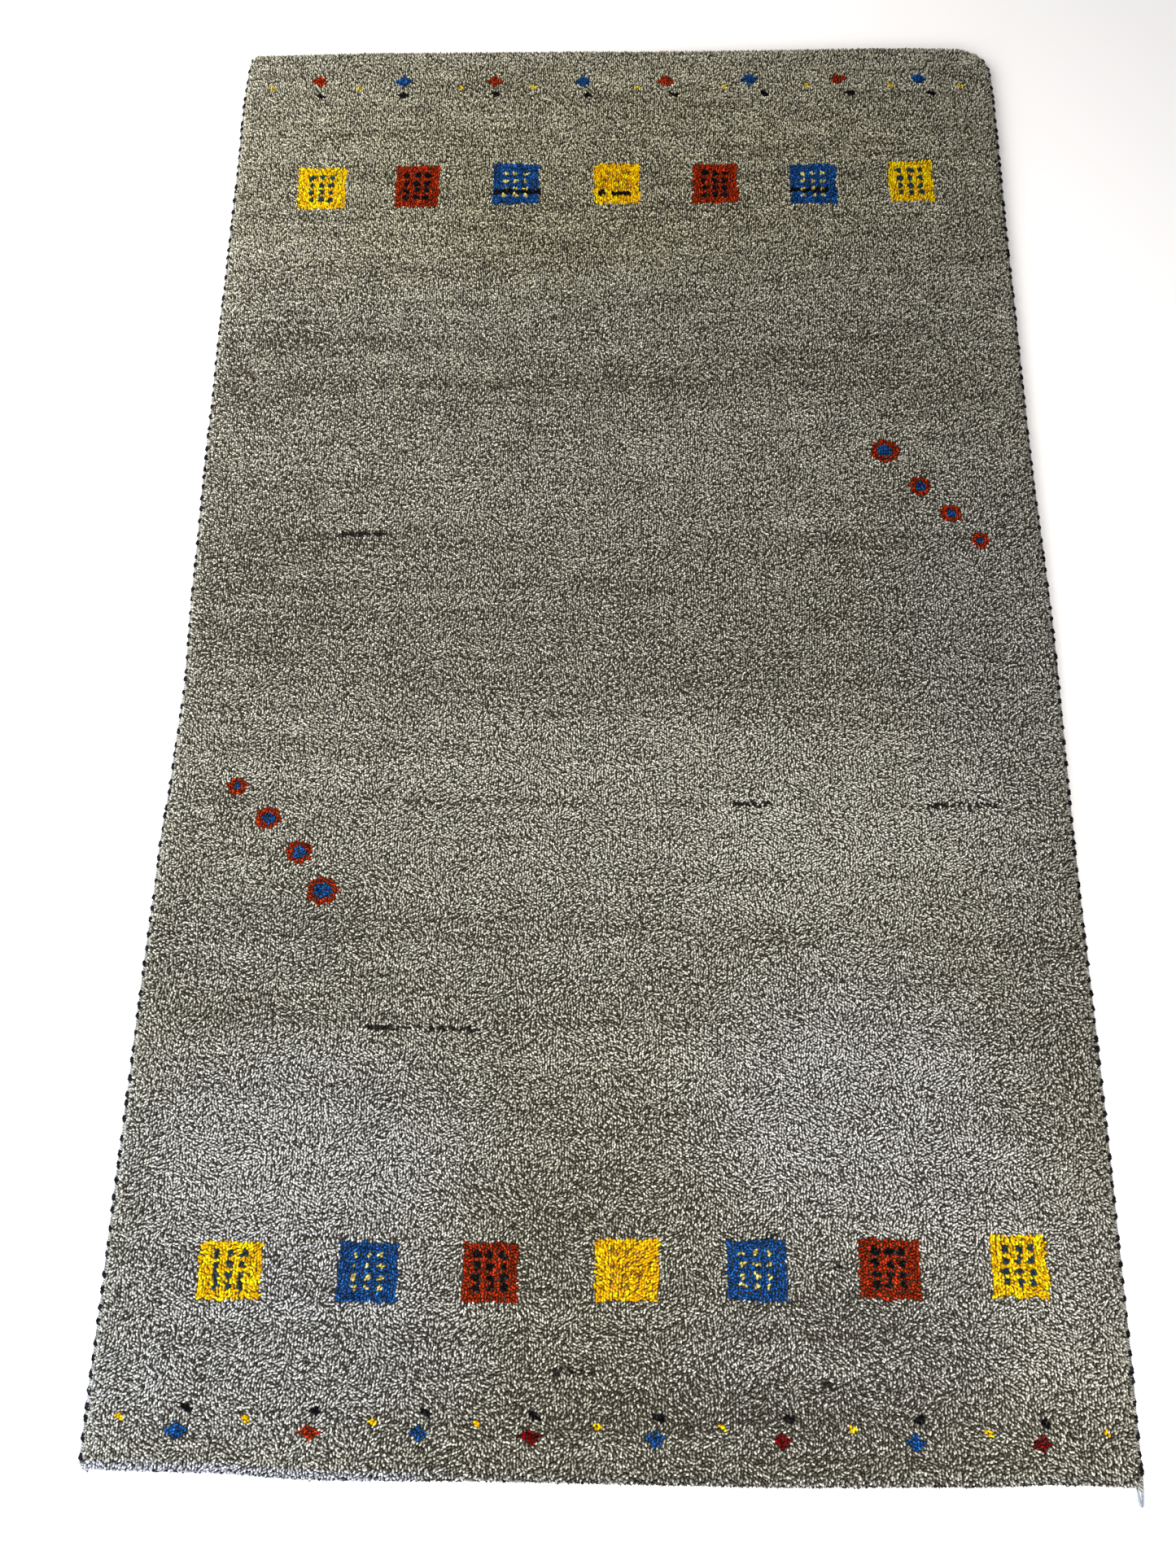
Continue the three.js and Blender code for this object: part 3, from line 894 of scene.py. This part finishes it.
def tube_caps(count, rings, sides):
    """The triangles that close both ends of each tube."""
    fan = np.arange(1, sides - 1)
    starts = np.stack([0 * fan, fan + 1, fan], -1)
    ends = (rings - 1) * sides + np.stack([0 * fan, fan, fan + 1], -1)
    base = (np.arange(count) * rings * sides)[:, None, None]
    return np.concatenate([starts + base, ends + base], 1).reshape(-1, 3)


def wall_map(tube, ring, side, rings, sides, strips, grid):
    """The map of the walls: each tube cut into strips, each strip in its own cell."""
    per = math.ceil((rings - 1) / strips)
    cell = tube * strips + ring // per

    def place(along, around):
        across = cell % grid + STRIP_CORNER + STRIP_LONG * along
        up = cell // grid + STRIP_CORNER + STRIP_AROUND * around
        return np.stack([across / grid, up / grid], -1)

    near, far = (ring % per) / per, (ring % per + 1) / per
    left, right = side / sides, (side + 1) / sides
    corners = (place(near, left), place(near, right), place(far, right), place(far, left))
    return quads(*corners).reshape(-1, 3, 2)


def tubes(paths, radii, sides, across, strips=1, flatten=1.0):
    """Closed tubes along many paths at once, with their own map.

    paths is (tubes, rings, 3), radii (tubes, rings), and across a direction that no path runs
    along. flatten is the height of a section over its width."""
    count, rings = radii.shape
    angle = 2 * np.pi * (np.arange(sides) + 0.5) / sides
    points = tube_points(paths, radii, angle, across, flatten)
    numbers = np.meshgrid(np.arange(count), np.arange(rings - 1), np.arange(sides), indexing="ij")
    tube, ring, side = (each.ravel() for each in numbers)
    walls, caps = tube_walls(tube, ring, side, rings, sides), tube_caps(count, rings, sides)
    cap_tube = np.arange(count).repeat(len(caps) // count)
    grid = math.ceil(math.sqrt(count * strips))
    cap_cell = np.stack([cap_tube * strips % grid, cap_tube * strips // grid], -1)[:, None]
    round_cap = np.stack([np.cos(angle), np.sin(angle)], -1) * CAP_HALF + CAP_MIDDLE
    cap_uv = (cap_cell + round_cap[caps % sides]) / grid
    uv = np.concatenate([wall_map(tube, ring, side, rings, sides, strips, grid), cap_uv])
    tube_of_face = np.concatenate([tube.repeat(2), cap_tube])
    ring_of_face = np.concatenate([ring.repeat(2), np.zeros(len(caps), int)])
    return points, np.concatenate([walls, caps]), uv, tube_of_face, ring_of_face


# Side cords


NEAR_RUN_RIGHT, PLAIN_RUN = 9.0, 6.0  # lengths of the straight runs past a cord's ends


def cord_line(side):
    """The middle of one side's cord in the plan, from the near end to the far end."""
    u, v = rim_loop(2.0)
    lip = np.stack(placed(u, v), -1)
    out = outward(lip)
    until = np.zeros(len(u))
    for corner in CORNERS:
        until[(corner.x == side) & (np.sign(lip[:, 1]) == corner.y)] = corner.cord_until
    follows = out[:, 0] * side > until
    line = (lip + out * CORD_OUT)[follows]
    return line[np.argsort(line[:, 1])]


def with_ends(line, side):
    """The line with a short straight run past both of its ends."""
    near = line[0] + unit(line[0] - line[3]) * (NEAR_RUN_RIGHT if side > 0 else PLAIN_RUN)
    far = line[-1] + unit(line[-1] - line[-4]) * PLAIN_RUN
    return np.concatenate([near[None], line, far[None]])


def distances(line):
    """How far along the line each of its points lies."""
    return np.concatenate([[0], np.cumsum(np.linalg.norm(np.diff(line, axis=0), axis=1))])


def points_at(line, at):
    """The line's points at distances along it."""
    return np.stack([np.interp(at, distances(line), column) for column in line.T], -1)


WRAP_PITCH = 2.3  # two rings, a crest and a groove, to each turn of the yarn
GROOVE = 0.84  # radius of a groove over a crest's
CORD_SIDES = 7
CORD_FLATTEN = 0.92
CORD_TAPER, CORD_END = 7.0, 0.35  # length over which a cord narrows, and to what share
CORD_LIFT = 0.3  # keeps the cord's underside on the floor
# The grey's fourth value is the share of it that painted shade leaves in the grooves
CORD_GREY = (0.34, 0.335, 0.31, 0.06)
CORD_MAP_STRIPS = 24


def side_cord(name, side, material):
    """A cord overcast with grey yarn: a ridge for every turn, slanting round it."""
    plain = with_ends(cord_line(side), side)
    length = distances(plain)[-1]
    rings = 2 * round(length / WRAP_PITCH)
    at = np.linspace(0, length, rings)
    line = points_at(plain, at)
    to_end = np.clip(np.minimum(at, length - at) / CORD_TAPER, 0, 1)
    taper = CORD_END + (1 - CORD_END) * np.sqrt(1 - (1 - to_end) ** 2)
    is_crest = np.arange(rings) % 2 == 0
    ridge = np.where(is_crest, 1.0, GROOVE) * rng.uniform(0.95, 1.04, rings)
    height = CORD_LIFT + CORD_HEIGHT / 2 * taper
    path = np.concatenate([line, height[:, None]], 1)
    points, triangles, uv, _, ring = tubes(
        path[None], (CORD_WIDTH / 2 * taper * ridge)[None], CORD_SIDES, (0, 0, 1.0),
        strips=CORD_MAP_STRIPS, flatten=CORD_FLATTEN,
    )
    slant = np.arange(len(points)) % CORD_SIDES / CORD_SIDES * WRAP_PITCH
    points[:, :2] += unit(np.gradient(line, axis=0)).repeat(CORD_SIDES, 0) * slant[:, None]
    turn = rng.normal(0, 0.3, rings // 2 + 1)[ring // 2]
    grey = np.array(CORD_GREY) * np.exp(turn)[:, None] ** COLOUR_ONLY
    # Crests lit, grooves between the turns darkened with painted shade
    tip = np.repeat(is_crest, CORD_SIDES)
    return wool_piece(name, points, triangles, uv, material, grey, tip)


STITCH_PITCH = 13.5
STITCH_SHIFT = 3.6  # how far a stitch strays along the cord
PASS_GAP = (1.7, 2.4)  # least and most, between the two passes of a stitch
STITCH_YARN = 1.9  # radius of the black yarn
STITCH_ANGLES = np.radians(np.linspace(140, -45, 6))  # from the pile over the top to the outside
STITCH_SLANT = 1.6  # along the cord, from a pass's middle to its ends
STITCH_SUNK_ACROSS, STITCH_SUNK_UP = 0.7, 0.1  # into the cord's outline, as shares of the yarn
STITCH_BLACK = (0.009, 0.009, 0.012)
CORNER_STITCHES = (5.5, 7.5, 12.0)  # extra passes, up from the near end of the right cord


def stitch_places(length, side):
    """Where along the cord each pass lies: two to a stitch, and a few more at one corner."""
    count = round(length / STITCH_PITCH)
    shift = rng.uniform(-STITCH_SHIFT, STITCH_SHIFT, count)
    first = (np.arange(count) + 0.5) * length / count + shift
    second = first + rng.uniform(*PASS_GAP, count)
    extra = CORNER_STITCHES if side > 0 else ()
    return np.concatenate([first, second, extra])


def whip_stitches(name, side, material):
    """Black yarn whipped over the cord, each pass a bow from the pile to the cord's outside."""
    line = cord_line(side)
    at = stitch_places(distances(line)[-1], side)
    middle = points_at(line, at)
    along = unit(points_at(line, at + 1) - middle)
    along = np.where(np.linalg.norm(along, axis=1, keepdims=True) < 0.5, [0, 1.0], along)
    out = np.stack([along[:, 1], -along[:, 0]], -1) * side
    across = (CORD_WIDTH / 2 - STITCH_SUNK_ACROSS * STITCH_YARN) * np.cos(STITCH_ANGLES)
    bow = (CORD_HEIGHT / 2 - STITCH_SUNK_UP * STITCH_YARN) * np.sin(STITCH_ANGLES)
    slant = np.linspace(-STITCH_SLANT, STITCH_SLANT, len(STITCH_ANGLES))
    slant = slant + rng.normal(0, 0.3, (len(at), 1))
    plan = middle[:, None] + out[:, None] * across[:, None] + along[:, None] * slant[..., None]
    thick = STITCH_YARN * rng.uniform(0.85, 1.4, (len(at), 1))
    radii = thick * rng.uniform(0.9, 1.1, plan.shape[:2])
    heights = np.maximum(CORD_HEIGHT / 2 + bow, radii + 0.1)
    paths = np.concatenate([plan, heights[..., None]], -1)
    run = np.concatenate([along, np.zeros((len(at), 1))], 1)[:, None]
    points, triangles, uv, tube, _ = tubes(paths, radii, 5, run)
    black = np.array(STITCH_BLACK) * np.exp(rng.normal(0, 0.3, (len(at), 1)))
    tip = np.ones(len(points))
    return wool_piece(name, points, triangles, uv, material, black[tube], tip)


# The loose yarn end: a hairpin that leaves the cord's near end, as points from the cord's end
HAIRPIN = (
    (-2.6, 6.0, 3.6), (-2.4, 2.0, 3.2), (-1.6, -1.5, 2.6), (-0.7, -5.0, 1.8),
    (-0.3, -8.5, 1.2), (0.1, -11.2, 1.0), (0.9, -12.4, 1.0), (1.8, -11.3, 1.0),
    (2.1, -8.0, 1.3), (2.2, -4.5, 2.0), (2.4, -1.0, 2.8), (2.3, 3.0, 3.4), (2.0, 6.0, 3.6),
)
HAIRPIN_YARN = 0.95  # radius of the loose yarn
HAIRPIN_RINGS = 40
HAIRPIN_GREY = (0.25, 0.28, 0.33)
STRAY_HAIRS = 14
HAIR_ROOT, HAIR_TIP = 0.22, 0.08  # radii
HAIR_LOWEST = 0.3


def stray_hair(hairpin):
    """A thin hair that bows out from one of the hairpin's first points."""
    root = hairpin[rng.integers(0, 5)] + rng.normal(0, 0.5, 3)
    tip = root + np.array([rng.normal(0.4, 1.6), rng.uniform(-7, -2), rng.normal(0, 0.6)])
    bow = rng.normal(0, 0.8, 3)
    s = np.linspace(0, 1, HAIRPIN_RINGS)[:, None]
    hair = root * (1 - s) + tip * s + bow * 4 * s * (1 - s)
    hair[:, 2] = np.maximum(hair[:, 2], HAIR_LOWEST)
    return hair


def loose_end(material):
    """The overcasting yarn's free end, drawn out in a hairpin, with a few stray hairs."""
    start = with_ends(cord_line(1), 1)[0]
    hairpin = np.array(HAIRPIN) + np.array([*start, 0])
    t = np.linspace(0, len(hairpin) - 1, HAIRPIN_RINGS)
    yarn = np.stack([np.interp(t, np.arange(len(hairpin)), column) for column in hairpin.T], -1)
    paths = [yarn] + [stray_hair(hairpin) for _ in range(STRAY_HAIRS)]
    radii = [np.full(HAIRPIN_RINGS, HAIRPIN_YARN)]
    radii += [np.linspace(HAIR_ROOT, HAIR_TIP, HAIRPIN_RINGS)] * STRAY_HAIRS
    points, triangles, uv, _, _ = tubes(np.array(paths), np.array(radii), 6, (0, 0.2, 1.0))
    grey = np.array(HAIRPIN_GREY) * np.exp(rng.normal(0, 0.12, (len(triangles), 1)))
    tip = np.ones(len(points))
    return wool_piece("loose_end", points, triangles, uv, material, grey, tip)


# The woven ground

GROUND_HEIGHT = 2.8
GROUND_INSET_SIDE, GROUND_INSET_END = 3.6, 5.0  # in from the pile's lip
GROUND_LINES_X, GROUND_LINES_Y = 48, 82
GROUND_WOOL = (0.33, 0.31, 0.25)


def ground(material):
    """The woven ground as a thin slab, with the squares' colours showing on its back."""
    lines_x = np.linspace(-HALF_X, HALF_X, GROUND_LINES_X)
    lines_y = np.linspace(-HALF_Y, HALF_Y, GROUND_LINES_Y)
    x, y = placed(*np.meshgrid(lines_x, lines_y))
    shrink_x, shrink_y = 1 - GROUND_INSET_SIDE / HALF_X, 1 - GROUND_INSET_END / HALF_Y
    back = np.stack([x * shrink_x, y * shrink_y, np.zeros_like(x)], -1).reshape(-1, 3)
    points = np.concatenate([back, back + [0, 0, GROUND_HEIGHT]])
    index = np.arange(x.size).reshape(x.shape)
    under = grid_triangles(index)[:, ::-1]
    over = grid_triangles(index) + x.size
    rim = grid_rim(index)
    triangles = np.concatenate([under, over, wall(rim, rim + x.size)[:, ::-1]])
    centre = points[triangles].mean(1)
    wool = np.tile(GROUND_WOOL, (len(triangles), 1))
    for square in SQUARES:
        wool[inside_box(centre[:, 0], centre[:, 1], square)] = YARNS[square.yarn][:3]
    uv = flat_uv(points, triangles)
    piece = wool_piece("ground_weave", points, triangles, uv, material, wool)
    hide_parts("pile_body")
    return piece


# Studio

# The camera's place over the outline's middle, and its own axes, solved from the photo
CAMERA_AT = (-1.1, -512.4, 1154.7)
CAMERA_RIGHT = (0.99976, 0.01225, -0.01791)
CAMERA_UP = (-0.00652, 0.95699, 0.29005)
CAMERA_LENS, CAMERA_SENSOR = 27.03, 36

FLOOR_HALF, FLOOR_TOP = 14.0, -0.0004  # metres, with the top just under the rug
WORLD_COLOUR = (1.0, 0.985, 0.97, 1.0)
WORLD_STRENGTH = 0.46

# The soft lights: name, place and aim in metres, size, power, colour
Light = namedtuple("Light", "name place aim size power colour")
LIGHTS = (
    Light("window", (-1.3, -1.3, 0.75), (-0.1, -0.3, 0.0), 1.0, 29, (0.76, 0.88, 1.0)),
    Light("ceiling", (-1.0, 0.4, 0.9), (-0.2, 0.2, 0.0), 1.1, 22, (1.0, 0.97, 0.92)),
    Light("fill", (0.3, -1.2, 1.0), (0.1, -0.4, 0.0), 1.0, 20.5, (1.0, 0.98, 0.95)),
)


def camera():
    """The photo's own camera."""
    data = bpy.data.cameras.new("camera")
    data.sensor_width = CAMERA_SENSOR
    data.lens = CAMERA_LENS
    data.clip_start, data.clip_end = 0.05, 30
    eye = bpy.data.objects.new("camera", data)
    right, up = Vector(CAMERA_RIGHT).normalized(), Vector(CAMERA_UP).normalized()
    back = right.cross(up).normalized()
    turn = Matrix((right, back.cross(right), back)).transposed().to_4x4()
    place = (np.array(CAMERA_AT) + MIDDLE) * MM
    eye.matrix_world = Matrix.Translation(place) @ turn
    bpy.context.scene.collection.objects.link(eye)
    bpy.context.scene.camera = eye


def area_light(light):
    data = bpy.data.lights.new(light.name, "AREA")
    data.shape = "DISK"
    data.size = light.size
    data.energy = light.power
    data.color = light.colour
    lamp = bpy.data.objects.new(light.name, data)
    lamp.location = light.place
    towards = Vector(light.aim) - Vector(light.place)
    lamp.rotation_euler = towards.to_track_quat("-Z", "Y").to_euler()
    bpy.context.scene.collection.objects.link(lamp)


def studio():
    """A pale floor under soft light, with a cool window light from the near left."""
    mesh = bpy.data.meshes.new("floor")
    corners = [(x * FLOOR_HALF, y * FLOOR_HALF, FLOOR_TOP)
               for x, y in ((-1, -1), (1, -1), (1, 1), (-1, 1))]
    mesh.from_pydata(corners, [], [(0, 1, 2, 3)])
    mesh.materials.append(floor_paint())
    floor = bpy.data.objects.new("floor", mesh)
    bpy.context.scene.collection.objects.link(floor)
    world = bpy.data.worlds.new("studio")
    world.use_nodes = True
    background = world.node_tree.nodes["Background"]
    background.inputs["Color"].default_value = WORLD_COLOUR
    background.inputs["Strength"].default_value = WORLD_STRENGTH
    bpy.context.scene.world = world
    for light in LIGHTS:
        area_light(light)
    bpy.context.scene.view_settings.view_transform = "Standard"


# Making

camera()
studio()
# Both wools darken with painted shade from the lit level down to the foot level
pile_material = tufted_wool("pile_wool", foot_level=0.27, lit_level=0.92)
cord_material = tufted_wool("cord_wool", foot_level=0.0, lit_level=0.9)
weave = ground(ground_wool())
field = pile(pile_material)
trim = [rim_tufts(pile_material), pile_core(pile_material)]
for side_name, side_sign in (("left", -1), ("right", 1)):
    cord = side_cord(f"cord_{side_name}", side_sign, cord_material)
    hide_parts(f"side_cord_{side_name}")
    trim += [cord, whip_stitches(f"stitches_{side_name}", side_sign, cord_material)]
trim.append(loose_end(cord_material))
